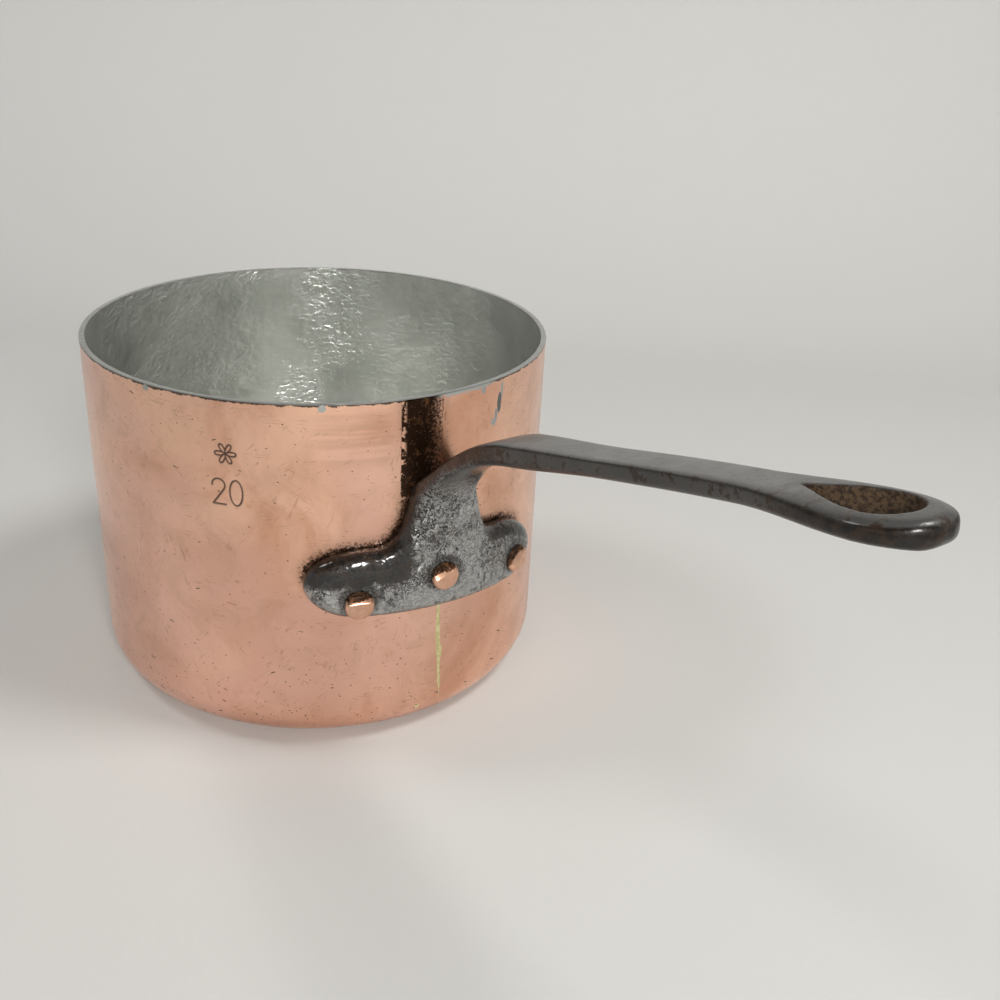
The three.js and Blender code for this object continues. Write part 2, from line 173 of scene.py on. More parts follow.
def sweep_surface():
    """The table and backdrop: floor, quarter circle and upright, carried across the view."""
    bend = np.linspace(0, math.pi / 2, 24)
    curve = sweep_start + sweep_radius * np.sin(bend)
    along = np.concatenate([[-table_reach], curve, curve[-1:]])
    rise = np.concatenate([[0], sweep_radius * (1 - np.cos(bend)), [sweep_top]])
    across = np.linspace(-table_reach, table_reach, 3)
    away = np.array([ahead.x, ahead.y]) / math.hypot(ahead.x, ahead.y)
    side = np.array([-away[1], away[0]])
    plan = along[:, None, None] * away + across[None, :, None] * side
    height = np.broadcast_to(rise[:, None, None], plan.shape[:2] + (1,))
    return np.concatenate([plan, height], axis=2) / MM


cloth, bsdf, place = new_material("pale_cloth")
weave = bumped(noise(place, 900), 0.15, 0.0005)
set_inputs(bsdf, {"Base Color": table_colour, "Roughness": 0.9, "Normal": weave})
table = grid_mesh("table", sweep_surface(), [cloth])

world = bpy.data.worlds.new("room")
world.use_nodes = True
sky = world.node_tree.nodes["Background"]
upward = node(sky, "SeparateXYZ", {"Vector": node(sky, "TexCoord").outputs["Generated"]}).outputs["Z"]
inputs = {"Value": upward, "From Min": sky_low, "From Max": sky_high, "To Min": sky_light, "To Max": sky_dark}
fade = node(sky, "MapRange", inputs, interpolation_type="SMOOTHSTEP").outputs["Result"]
set_inputs(sky, {"Color": sky_colour, "Strength": fade})
bpy.context.scene.world = world
bpy.context.scene.view_settings.view_transform = "Standard"

# Each lamp: name, bearing round Z and height above the table in degrees, distance, width, watts.
lamps = [
    ("lamp_left", -128, 56, 1.35, 0.40, 4.0),
    ("lamp_right", 42, 60, 1.35, 0.40, 7.3),
    ("lamp_window", -18, 30, 1.50, 0.36, 12.0),
]
for name, bearing, height, distance, width, watts in lamps:
    lamp_data = bpy.data.lights.new(name, "AREA")
    lamp_data.shape = "DISK"
    lamp_data.size = width
    lamp_data.energy = watts
    lamp_data.color = lamp_colour
    lamp = bpy.data.objects.new(name, lamp_data)
    turn, lift = math.radians(bearing), math.radians(height)
    level_reach = distance * math.cos(lift)
    lamp.location = (level_reach * math.cos(turn), level_reach * math.sin(turn), distance * math.sin(lift))
    lamp.rotation_euler = (-lamp.location).to_track_quat("-Z", "Y").to_euler()
    bpy.context.collection.objects.link(lamp)

# ------------ copper wall
# One copper sheet rolled into a cylinder, planished by hand and polished. Its edges meet at the side seam,
# and its lower edge turns in to meet the base. Fine scratches, small pits and stains have come with use;
# behind the neck and round the foot the colour also holds painted shade and a painted dark reflection.

pan_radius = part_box("copper_wall")[1].y / MM
wall_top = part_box("copper_wall")[1].z / MM
pan_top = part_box("tin_lining")[1].z / MM
wall_thickness = 2.0
base_thickness = 2.4
corner_radius = 17.0
base_seam_angle = 20.0
seam_half_angle = math.degrees(0.9 / corner_radius)
stamp_angle, stamp_height = -47.5, 121.0
stamp_half_width, stamp_half_height = 7.2, 16.0
stamp_step, wall_step = 0.28, 2.2
stamp_depth, stroke = 0.25, 0.29
copper_relief, tin_relief = 0.22, 0.16
scratch_scale = (1 / 170, 1 / 170, 1 / 2600)


def mesh_points(obj):
    """The mesh's points in millimetres, as rows of x, y, z."""
    flat = np.empty(len(obj.data.vertices) * 3)
    obj.data.vertices.foreach_get("co", flat)
    return flat.reshape(-1, 3) / MM


def move_points(obj, points):
    """Puts changed points, in millimetres, back into the mesh."""
    obj.data.vertices.foreach_set("co", (points * MM).ravel())
    obj.data.update()


def paint(obj, name, values):
    """Stores one number for each point under a name that the material reads."""
    layer = obj.data.attributes.new(name, "FLOAT", "POINT")
    layer.data.foreach_set("value", np.ascontiguousarray(values, dtype=np.float32))


def lattice_noise(points, size, seed):
    """Smooth noise from -1 to 1: random values on a cubic lattice of that size, blended in each cell."""
    scaled = np.asarray(points, dtype=float) / size + 31.7 * seed + 500
    cell = np.floor(scaled).astype(np.int64)
    part = scaled - cell
    part = part * part * (3 - 2 * part)
    total = 0
    for corner in np.ndindex(2, 2, 2):
        x, y, z = (cell[..., i] + corner[i] for i in range(3))
        code = (x * 73856093 ^ y * 19349663 ^ z * 83492791 ^ seed * 2654435761) & 0xFFFFFFFF
        code = (code ^ (code >> 13)) * 1274126177 & 0xFFFFFFFF
        value = ((code ^ (code >> 16)) & 0xFFFF) / 32767.5 - 1
        weight = 1
        for i in range(3):
            weight = weight * (part[..., i] if corner[i] else 1 - part[..., i])
        total = total + weight * value
    return total


def eased(value, low, high):
    """0 below low, 1 above high, and the smoothstep curve between them."""
    share = np.clip((value - low) / (high - low), 0, 1)
    return share * share * (3 - 2 * share)


def ramp(value, low, high, first, last):
    """The first number below low, the last above high, and smoothly from one to the other between."""
    return first + (last - first) * eased(value, low, high)


def rounded(share):
    """The height of a quarter circle of radius one, at a share of its width; 0 beyond it."""
    return np.sqrt(np.maximum(1 - share**2, 0))


def round_pan(points, angle=0):
    """Distance of each point round the pan from an angle in degrees."""
    return pan_radius * (np.arctan2(points[:, 1], points[:, 0]) - math.radians(angle))


def profile(*pieces):
    """Radius and height along the pieces of a profile; in each piece, either may be one number."""
    return np.concatenate([np.stack(np.broadcast_arrays(*piece)) for piece in pieces], axis=1)


def planished(points, depth):
    """Points moved in towards the Z axis by a hammered relief of broad and small waves, never outwards."""
    broad = lattice_noise(points, 36, 3)
    small = lattice_noise(points, 15, 4)
    dent = depth * (0.5 + 0.36 * broad + 0.14 * small)
    radius = np.hypot(points[..., 0], points[..., 1])
    shrink = 1 - dent / np.maximum(radius, 1)
    return points * np.stack([shrink, shrink, np.ones_like(shrink)], axis=-1)


def corner_points(angles, inset_side, inset_under):
    """Radius and height along the base's corner, an ellipse set in from the outside by the two insets."""
    lean = np.radians(angles)
    radius = pan_radius - corner_radius + (corner_radius - inset_side) * np.cos(lean)
    height = corner_radius - (corner_radius - inset_under) * np.sin(lean)
    return radius, height


def around(radius, height, angle):
    """Points at a radius, height and angle round the Z axis."""
    radius, height, angle = np.broadcast_arrays(radius, height, angle)
    return np.stack([radius * np.cos(angle), radius * np.sin(angle), height], axis=-1)


def seam_centre(height):
    """Angle of the side seam: it wanders a degree from the rim down to the base."""
    return np.radians(0.55 + 0.85 * eased(height, 55, 20) + 0.12 * np.sin(height / 7))


def seam_half_width(height, side):
    """Half the width of the brass, in millimetres: thin at the ends, with a bulge on its +Y side."""
    body = 0.15 + 0.45 * eased(height, 18.4, 20) - 0.40 * eased(height, 66, 76)
    swell = 0.50 * np.exp(-(((height - 45) / 8) ** 2)) + 0.35 * np.exp(-(((height - 20.6) / 1.4) ** 2))
    bulge = 1.25 * np.exp(-(((height - 36) / 3.2) ** 2)) * (side > 0)
    ragged = 0.05 * np.sin(height * 1.9 + side) + 0.05 * np.sin(height * 0.83 - 2 * side)
    return body + (swell + bulge + ragged) * eased(height, 18.4, 20) * eased(height, 80, 66)


def graded(low, high, fine_low, fine_high, fine_step, step):
    """Values from low to high: close together between the fine limits, and wider apart elsewhere."""
    before = np.arange(low, fine_low, step)
    between_them = np.arange(fine_low, fine_high, fine_step)
    after = np.linspace(fine_high, high, int((high - fine_high) / step) + 2)
    return np.concatenate([before, between_them, after])


def wall_section():
    """Radius and height of the wall's outside and inside, from the base seam up to the rim and down again."""
    angles = np.linspace(base_seam_angle - seam_half_angle, 0, 8, endpoint=False)
    fine = stamp_height - stamp_half_height, stamp_height + stamp_half_height
    return profile(
        corner_points(angles, 0, 0),
        (pan_radius, graded(corner_radius, wall_top, *fine, stamp_step, wall_step)),
        (pan_radius - wall_thickness, np.linspace(corner_radius, wall_top, 8)[::-1]),
        corner_points(angles[::-1], wall_thickness, base_thickness),
    )


def wall_points(shares):
    """The sheet as a grid: rows go up the outside and down the inside, columns go round between two edges.

    Shares count once round from the seam: 0 is its +Y edge and 1 its -Y edge, and a share from -1 to 0 lies
    on the brass between them.
    """
    radius, height = (values[:, None] for values in wall_section())
    low = seam_centre(height) - seam_half_width(height, -1) / pan_radius
    high = seam_centre(height) + seam_half_width(height, 1) / pan_radius
    on_brass = low + (shares + 1) * (high - low)
    on_copper = high + shares * (2 * math.pi - (high - low))
    angle = np.where(shares < 0, on_brass, on_copper)
    if shares[0] < 0:
        angle = np.where(shares == 0, high, angle)
    return planished(around(radius, height, angle), copper_relief)


def segment_distance(across, up_wall, start, end):
    """Distance from each point to a straight stroke between two ends."""
    run = np.subtract(end, start)
    share = ((across - start[0]) * run[0] + (up_wall - start[1]) * run[1]) / (run**2).sum()
    share = np.clip(share, 0, 1)
    return np.hypot(across - start[0] - share * run[0], up_wall - start[1] - share * run[1])


def size_mark(across, up_wall):
    """Distance to the strokes of the punched mark: a six-petalled rosette over 20, the pan's width in cm.

    The rosette is the curve whose radius is the cosine of three times its angle. The 0 is an ellipse, and the
    2 an arc, a diagonal and a foot.
    """
    rise = up_wall - 9.5
    reach, turn = np.hypot(across, rise), np.arctan2(rise, across)
    petals = 4.2 * np.abs(np.cos(3 * turn)) - reach
    steep = np.sqrt(1 + (12.6 * np.sin(3 * turn) / np.maximum(reach, 0.8)) ** 2)
    rosette = np.minimum(np.abs(petals) / steep, np.maximum(reach - 0.45, 0))
    x, y = across - 3.5, up_wall + 6.2
    oval = np.hypot(x / 2.5, y / 5.2)
    zero = np.abs(oval - 1) * oval / np.maximum(np.hypot(x / 2.5**2, y / 5.2**2), 0.05)
    x = across + 3.5
    bow = np.abs(np.hypot(x, y - 2.6) - 2.6)
    leaning = np.arctan2(y - 2.6, x)
    bow = np.where((leaning > -0.6) | (leaning < -2.95), bow, np.hypot(x, y))
    end = (2.6 * math.cos(0.6), 2.6 - 2.6 * math.sin(0.6))
    two = np.minimum(bow, segment_distance(x, y, end, (-2.5, -5.2)))
    two = np.minimum(two, segment_distance(x, y, (-2.5, -5.2), (2.6, -5.2)))
    return np.minimum(rosette, np.minimum(zero, two))


# What the materials share: soft stains, fine scratches and small pits, as groups.


def new_group(name, inputs):
    """A shader node group with a Vector, the named floats and one Mask: the group, its inputs and its end."""
    group = bpy.data.node_groups.new(name, "ShaderNodeTree")
    group.interface.new_socket("Vector", in_out="INPUT", socket_type="NodeSocketVector")
    for label, value in inputs.items():
        socket = group.interface.new_socket(label, in_out="INPUT", socket_type="NodeSocketFloat")
        socket.default_value = value
    group.interface.new_socket("Mask", in_out="OUTPUT", socket_type="NodeSocketFloat")
    return group, group.nodes.new("NodeGroupInput").outputs, group.nodes.new("NodeGroupOutput")


def maths(operation, *values, clamp=False):
    """One Math node over the values given in order, in the tree of the first output among them."""
    owner = next(value for value in values if isinstance(value, bpy.types.NodeSocket))
    return node(owner, "Math", dict(enumerate(values)), operation=operation, use_clamp=clamp).outputs[0]


def times(total, *values):
    """The product of the values, taken in order."""
    for value in values:
        total = maths("MULTIPLY", total, value)
    return total


def times_plus(value, factor, base, clamp=False):
    """The value times a factor, added to a base."""
    return maths("MULTIPLY_ADD", value, factor, base, clamp=clamp)


def larger(first, second):
    """The larger of two values, or the second when the first is missing."""
    return second if first is None else maths("MAXIMUM", first, second)


def between(value, low, high):
    """A value brought to 0 at low and 1 at high, smoothly."""
    inputs = {"Value": value, "From Min": low, "From Max": high}
    return node(value, "MapRange", inputs, interpolation_type="SMOOTHSTEP").outputs["Result"]


def spread(value, low, high):
    """A noise value from 0.3 to 0.7, brought to the range from low to high."""
    inputs = {"Value": value, "From Min": 0.3, "From Max": 0.7, "To Min": low, "To Max": high}
    return node(value, "MapRange", inputs).outputs["Result"]


def blend(share, first, second):
    """Two colours mixed by a share; each colour is a value or an output."""
    made = node(share, "Mix", data_type="RGBA", blend_type="MIX")
    number = {socket.identifier: i for i, socket in enumerate(made.inputs)}
    set_inputs(made, {number["Factor_Float"]: share, number["A_Color"]: first, number["B_Color"]: second})
    return next(socket for socket in made.outputs if socket.identifier == "Result_Color")


def stretched(vector, turn, scale):
    """Coordinates turned, and divided by the scale along each axis."""
    inputs = {"Vector": vector, "Rotation": turn, "Scale": scale}
    return node(vector, "Mapping", inputs, vector_type="TEXTURE").outputs[0]


def painted(owner, name):
    """The numbers painted on the mesh under a name."""
    return node(owner, "Attribute", attribute_name=name).outputs["Fac"]


def arc_and_height(vector):
    """Distance round the pan from the X axis, and height, in metres."""
    along = node(vector, "SeparateXYZ", {"Vector": vector}).outputs
    return times(maths("ARCTAN2", along["Y"], along["X"]), pan_radius * MM), along["Z"]


def scratches_group():
    """Short fine scratches: noise stretched along four directions, kept where it peaks and in patches."""
    group, given, end = new_group("fine_scratches", {"Amount": 0.5})
    total = None
    for turn in ((0.12, 0.05, 0.3), (0.9, 0.5, 1.1), (-0.7, 0.8, 2.2), (1.45, 0.3, 0.7)):
        fine = noise(stretched(given["Vector"], turn, scratch_scale), 1, 1)
        patch = noise(given["Vector"], 70 + 30 * turn[2], 1, 0.5, 0.4)
        total = larger(total, times(between(fine, 0.635, 0.69), between(patch, 0.50, 0.66)))
    set_inputs(end, {"Mask": maths("MULTIPLY", total, given["Amount"], clamp=True)})
    return group


def pits_group():
    """Small pits: the middles of scattered cells, kept in the few cells whose random value is low."""
    group, given, end = new_group("small_pits", {"Scale": 160.0, "Share": 0.1, "Size": 0.1})
    inputs = {"Vector": given["Vector"], "Scale": given["Scale"], "Randomness": 1}
    cells = node(group, "TexVoronoi", inputs).outputs
    chance = node(group, "SeparateColor", {"Color": cells["Color"]}).outputs
    size = times(given["Size"], times_plus(chance[1], 0.6, 0.4))
    spot = maths("DIVIDE", maths("SUBTRACT", size, cells["Distance"]), given["Size"])
    kept = maths("LESS_THAN", chance[0], given["Share"])
    set_inputs(end, {"Mask": times(kept, between(spot, 0.0, 0.35))})
    return group


def mark_group():
    """One ragged oval mark on the wall, placed by its distance round the pan and its height, in metres."""
    sizes = {"Arc": 0.0, "Height": 0.1, "Half Width": 0.001, "Half Height": 0.001}
    group, given, end = new_group("wall_mark", sizes)
    arc, height = arc_and_height(given["Vector"])
    across = maths("DIVIDE", maths("SUBTRACT", arc, given["Arc"]), given["Half Width"])
    rise = maths("DIVIDE", maths("SUBTRACT", height, given["Height"]), given["Half Height"])
    reach = times_plus(across, across, times(rise, rise))
    reach = times_plus(noise(given["Vector"], 900), 1.1, reach)
    set_inputs(end, {"Mask": between(reach, 1.65, 1.35)})
    return group


fine_scratches = scratches_group()
small_pits = pits_group()
wall_mark = mark_group()


def use_group(group, vector, **inputs):
    """The group's output over the coordinates."""
    return set_inputs(node(vector, "Group", node_tree=group), {"Vector": vector, **inputs}).outputs[0]


def mark_at(place, *sizes):
    """One wall mark, from its distance round the pan, height, half-width and half-height in millimetres."""
    labels = ("Arc", "Height", "Half Width", "Half Height")
    return use_group(wall_mark, place, **{label: size * MM for label, size in zip(labels, sizes)})


copper_light = (0.95, 0.57, 0.400, 1)
copper_deep = (0.74, 0.375, 0.235, 1)
copper_rose = (0.83, 0.49, 0.39, 1)
copper_brown = (0.50, 0.26, 0.15, 1)
soot_and_shade_black = (0.018, 0.008, 0.004, 1)
burnt_brown = (0.15, 0.070, 0.030, 1)
pit_colour = (0.06, 0.028, 0.02, 1)
smear_light = (0.50, 0.51, 0.50, 1)
smear_dark = (0.09, 0.095, 0.095, 1)

# Tin that ran over the rim and down the outside: distance round the pan, height, half-width, half-height, and
# how dark it is.
tin_runs = [
    (20.7, 150.2, 1.3, 2.6, 0.25),
    (32.0, 146.6, 0.75, 4.0, 0.15),
    (30.7, 141.8, 1.35, 4.4, 0.9),
    (28.9, 137.4, 0.9, 2.6, 0.35),
    (27.7, 134.4, 1.7, 1.7, 0.2),
    (-116.3, 150.4, 1.4, 1.3, 0.2),
    (-46.4, 150.4, 1.5, 1.4, 0.1),
    (96.0, 149.9, 1.3, 1.9, 0.2),
    (171.0, 148.6, 1.1, 3.2, 0.5),
    (-214.0, 150.2, 1.6, 1.4, 0.2),
]


# Round pits and short dents: how each kind is turned, stretched, and how often it comes.
pit_kinds = [
    ((0, 0, 0), (0.9, 0.9, 0.9), 0.20),
    ((0.8, 0.3, 0.4), (4.2, 0.7, 0.7), 0.26),
    ((-0.7, 0.5, 1.9), (4.2, 0.7, 0.7), 0.26),
    ((0.2, 1.2, 0.9), (0.7, 0.7, 3.4), 0.22),
]


def copper_material(name, wall=False, tarnish=0.0):
    """Polished copper: clouds of colour, scratches, pits and tarnish; the wall adds its stains and marks, a
    painted dark reflection of the handle behind the neck, partly a stain, and painted glints along its left
    edge.

    A painted attribute blackens it and takes the polish off: soot, with painted shade and painted dark
    reflections.
    """
    material, bsdf, place = new_material(name)
    arc, height = arc_and_height(place)
    colour = blend(between(noise(place, 21, 5, 0.6, 0.8), 0.36, 0.68), copper_light, copper_deep)
    rosy = between(noise(place, 11, 2, 0.55, 0.6), 0.42, 0.62)
    colour = blend(times(rosy, 0.65), colour, copper_rose)
    low_down = between(height, 0.06, 0.008)
    scratches = use_group(fine_scratches, place, Amount=1.0)
    pits = None
    for turn, stretch, often in pit_kinds:
        share = times_plus(low_down, 2.6 * often, 0.55 * often)
        turned = stretched(place, turn, stretch)
        pits = larger(pits, use_group(small_pits, turned, Scale=330.0, Share=share, Size=0.16))
    smudge = between(noise(place, 46, 4, 0.6, 0.7), 0.46, 0.72)
    colour = blend(times(smudge, 0.26), colour, copper_brown)
    colour = blend(times(scratches, 0.48), colour, copper_brown)
    colour = blend(times(pits, 0.9), colour, pit_colour)
    if tarnish:
        dulled = times_plus(noise(place, 420, 3, 0.7), 0.9, tarnish - 0.45, clamp=True)
        colour = blend(dulled, colour, copper_brown)
    stipple = noise(place, 900, 3, 0.7)
    # Darkening painted on the mesh: soot, with painted shade and painted dark reflections.
    stain_and_painted_dark = soot_and_shade = painted(place, "soot_and_shade")
    if wall:
        # Behind the neck: a painted dark reflection of the handle, partly a real stain, with a ragged left
        # edge.
        wander = times(times_plus(noise(place, 300, 3, 0.7), 0.0035, -0.00175), 0.25)
        left_edge = between(maths("ADD", arc, wander), -0.0172, -0.0166)
        right_edge = between(arc, 0.010, -0.008)
        neck_reflection_and_stain = times(left_edge, right_edge, between(height, 0.096, 0.116))
        stain_and_painted_dark = larger(times(neck_reflection_and_stain, 1.05), soot_and_shade)
    colour = blend(times(between(stain_and_painted_dark, 0.05, 0.6), 0.40), colour, copper_brown)
    # Where darkened, soot and painted shade alike go to black and burnt brown and lose their polish.
    stain_and_painted_dark_share = between(maths("ADD", stain_and_painted_dark, times_plus(stipple, 1.6, -0.8)), 0.42, 0.95)
    soot_and_shade_tone = blend(between(noise(place, 170, 4, 0.7, 1.0), 0.54, 0.64), soot_and_shade_black, burnt_brown)
    colour = blend(times(stain_and_painted_dark_share, 0.97), colour, soot_and_shade_tone)
    smear = None
    if wall:
        # Painted glints: light copper along the left edge of the painted dark reflection behind the neck.
        painted_glint = times(between(arc, -0.0142, -0.0158), between(height, 0.106, 0.114))
        painted_glint = times(painted_glint, times(neck_reflection_and_stain, stain_and_painted_dark_share), between(noise(place, 360, 2, 0.55), 0.47, 0.56))
        colour = blend(painted_glint, colour, copper_light)
        wiped = node(place, "Mapping", {"Vector": place, "Scale": (14, 14, 420)}).outputs[0]
        shade = times(
            times(between(arc, -0.058, -0.040), between(arc, -0.018, -0.024)),
            times(between(height, 0.122, 0.134), between(height, 0.152, 0.144)),
            between(noise(wiped, 1, 3), 0.38, 0.66),
        )
        colour = blend(times(shade, 0.42), colour, copper_brown)
        colour = blend(times(painted(place, "struck"), 0.93), colour, pit_colour)
        rim_line = times_plus(noise(place, 260, 3, 0.7), 0.0030, height)
        rim_line = between(rim_line, wall_top * MM + 0.0008, wall_top * MM + 0.0012)
        colour = blend(times(rim_line, 0.9), colour, soot_and_shade_black)
        for *sizes, dark in tin_runs:
            run = mark_at(place, *sizes)
            tone = [light + (deep - light) * dark for light, deep in zip(smear_light, smear_dark)]
            colour = blend(run, colour, tone)
            smear = larger(smear, run)
        band = times_plus(stipple, 0.0045, height)
        band = between(band, wall_top * MM + 0.0009, wall_top * MM + 0.0014)
        band = times(band, between(arc, -0.004, 0.002), between(arc, 0.030, 0.022))
        colour = blend(band, colour, smear_light)
    rough = times_plus(low_down, 0.05, spread(noise(place, 50, 5, 0.6), 0.28, 0.35))
    rough = times_plus(scratches, 0.12, times_plus(stain_and_painted_dark_share, 0.18, rough))
    relief = times_plus(noise(place, 70, 2, 0.55), 1.5, times(noise(place, 330, 3, 0.55), 0.16))
    relief = times_plus(pits, -0.5, times_plus(scratches, -0.14, relief))
    if smear:
        relief = times_plus(smear, 0.5, relief)
    set_inputs(bsdf, {
        "Base Color": colour,
        "Metallic": 1,
        "Roughness": times_plus(pits, 0.4, rough, clamp=True),
        "Normal": bumped(relief, 0.5, 0.0003),
        "Coat Weight": times_plus(stain_and_painted_dark_share, -0.36, 0.38, clamp=True),
        "Coat Roughness": 0.07,
        "Coat IOR": 1.9,
    })
    return material


wall_copper = copper_material("wall_copper", wall=True)
stamp_share = (stamp_angle - math.degrees(float(seam_centre(stamp_height)))) % 360 / 360
share_step = 1 / (2 * math.pi * pan_radius)
fine = stamp_share - stamp_half_width * share_step, stamp_share + stamp_half_width * share_step
sheet = wall_points(graded(0, 1, *fine, stamp_step * share_step, wall_step * share_step))
copper_wall = grid_mesh("copper_wall_sheet", sheet, [wall_copper], closed=(True, False), caps=True)
skin = mesh_points(copper_wall)
arc = round_pan(skin, stamp_angle)
outside = np.hypot(skin[:, 0], skin[:, 1]) > pan_radius - wall_thickness / 2
struck = outside * (1 - eased(size_mark(arc, skin[:, 2] - stamp_height), stroke * 0.6, stroke * 1.9))
struck *= (np.abs(arc) < stamp_half_width) & (np.abs(skin[:, 2] - stamp_height) < stamp_half_height)
skin[:, :2] *= 1 - stamp_depth * struck[:, None] / pan_radius
move_points(copper_wall, skin)
paint(copper_wall, "struck", struck)
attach(copper_wall, "root")
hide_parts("copper_wall")

# ------------ side seam
# Brazing brass between the sheet's two edges, filed and polished flush, so its outline is ragged.

brass_light = (0.84, 0.80, 0.44, 1)
brass_deep = (0.70, 0.62, 0.30, 1)

seam_brass, bsdf, place = new_material("seam_brass")
cloud = noise(place, 420, 3)
colour = blend(between(cloud, 0.42, 0.66), brass_light, brass_deep)
height = arc_and_height(place)[1]
set_inputs(bsdf, {
    "Base Color": blend(between(height, 0.082, 0.100), colour, copper_deep),
    "Roughness": spread(cloud, 0.28, 0.40),
    "Metallic": 1,
})

seam = wall_points(np.linspace(-1, 0, 7))
side_seam = grid_mesh("side_seam_braze", seam, [seam_brass], closed=(True, False), caps=True)
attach(side_seam, "root")
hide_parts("side_seam")

# ------------ base
# A copper disc with its edge hammered up into a rounded corner, and the ring of braze that joins it to the
# wall. One spot of the ring's brass shows, round the pan and up it by the first two sizes of brass_spot.

round_columns, floor_rows = 360, 30
floor_radii = np.linspace(0, pan_radius - corner_radius, floor_rows, endpoint=False)
brass_spot = (-7.6, 11.4, 1.0, 1.3)


def turned_points(section, relief):
    """A profile of radius and height turned about the Z axis, with a planished relief: columns go round."""
    radius, height = section
    angle = np.linspace(0, 2 * math.pi, round_columns, endpoint=False)
    return planished(around(radius[:, None], height[:, None], angle[None, :]), relief)


def base_profile():
    """Radius and height of the cupped base: underside from the axis out, corner, edge, and back inside."""
    angles = np.linspace(90, base_seam_angle + seam_half_angle, 22)
    return profile(
        (floor_radii, 0),
        corner_points(angles, 0, 0),
        corner_points(angles[::-1], wall_thickness, base_thickness),
        (floor_radii[::-1], base_thickness),
    )


base_copper = copper_material("base_copper")
cup = turned_points(base_profile(), copper_relief)
base = grid_mesh("copper_base_cup", cup, [base_copper], closed=(False, True))
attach(base, "root")
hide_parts("copper_base")


def base_seam_profile():
    """Radius and height round the section of the braze ring."""
    angles = np.linspace(base_seam_angle - seam_half_angle, base_seam_angle + seam_half_angle, 5)
    return profile(corner_points(angles, 0, 0), corner_points(angles[::-1], wall_thickness, base_thickness))


base_braze = copper_material("base_braze")
made = {part.type: part for part in base_braze.node_tree.nodes}
bsdf, place = made["BSDF_PRINCIPLED"], made["TEX_COORD"].outputs["Object"]
under = bsdf.inputs["Base Color"].links[0].from_socket
set_inputs(bsdf, {"Base Color": blend(mark_at(place, *brass_spot), under, brass_light)})
ring = turned_points(base_seam_profile(), copper_relief)
base_seam = grid_mesh("base_seam_braze", ring, [base_braze], closed=(True, True))
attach(base_seam, "root")
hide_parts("base_seam")

# ------------ tin lining
# Molten tin wiped by hand over the inside and the rim, so it is satin, rippled and a little uneven.

tin_thickness = 0.2
tin_gap = 0.1
lip_inset, lip_rise = 0.1, 0.25
ripple_scale = (1 / 320, 1 / 320, 1 / 560)

tin_light = (0.86, 0.865, 0.835, 1)
tin_deep = (0.68, 0.695, 0.65, 1)
rim_painted_shade = (0.22, 0.215, 0.20, 1)

wiped_tin, bsdf, place = new_material("wiped_tin")
cloud = noise(place, 28, 5, 0.6)
colour = blend(between(cloud, 0.36, 0.68), tin_light, tin_deep)
# The rim's top is painted darker grey: painted shade standing in for the tin's dimmer reflection there.
on_rim = between(times_plus(cloud, 0.0006, arc_and_height(place)[1]), 0.1518, 0.1522)
ripple = noise(stretched(place, (0.25, 0.1, 0), ripple_scale), 1, 3, 0.55, 0.5)
patchy = between(noise(place, 24), 0.35, 0.62)
relief = times_plus(noise(place, 75), 1.8, times(ripple, times_plus(patchy, 0.8, 0.2)))
set_inputs(bsdf, {
    "Base Color": blend(times(on_rim, 0.75), colour, rim_painted_shade),
    "Metallic": 1,
    "Roughness": spread(cloud, 0.28, 0.34),
    "Normal": bumped(relief, 1.0, 0.0006),
    "Coat Weight": 0.7,
    "Coat Roughness": 0.08,
    "Coat IOR": 1.9,
})


def tin_profile():
    """Radius and height of the tin: the inside from the axis out and up, over the rim, and back under it."""
    away, under = wall_thickness + tin_gap, base_thickness + tin_gap
    angles = np.linspace(90, 0, 20)
    inside, outside = pan_radius - away - tin_thickness, pan_radius - lip_inset
    turn = np.radians(np.linspace(180, 0, 9))
    lip = np.sign(np.cos(turn)) * np.abs(np.cos(turn)) ** 0.4
    lip_radius = (inside + outside) / 2 + (outside - inside) / 2 * lip
    lip_height = pan_top - lip_rise + lip_rise * np.sin(turn) ** 0.5
    back_height = np.array([wall_top + 0.05, wall_top + 0.05, wall_top - 1])
    return profile(
        (floor_radii, under + tin_thickness),
        corner_points(angles, away + tin_thickness, under + tin_thickness),
        (inside, np.linspace(corner_radius + 2, pan_top - 0.35, 60)),
        (lip_radius, lip_height),
        (np.array([outside, pan_radius - away, pan_radius - away]), back_height),
        (pan_radius - away, np.linspace(wall_top - 2, corner_radius + 2, 12)),
        corner_points(angles[::-1], away, under),
        (floor_radii[::-1], under),
    )


lining = turned_points(tin_profile(), tin_relief)
tin = grid_mesh("tin_lining_coat", lining, [wiped_tin], closed=(False, True))
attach(tin, "root")
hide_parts("tin_lining")

# ------------ iron handle
# One iron casting, ground by hand: a pitted foot that follows the wall, a neck, a bar rubbed smooth and a
# rounded loop with a drop-shaped eye.

foot_left_span, foot_right_span = 55.0, 51.0
foot_flat_half, foot_shoulder_half = 34.0, 28.0
foot_bottom = pan_top - 89.0
tip_level = foot_bottom + 14.2
shoulder_level = tip_level + 14.2
neck_root = shoulder_level + 20.6
foot_flat_top = foot_bottom + 15.9 + 6.1 + 0.2
foot_thickness, foot_edge = 8.5, 2.4
foot_lower_round, foot_upper_round = 4.5, 9.0
foot_roll = math.radians(2.4)
foot_back = pan_radius + 0.12

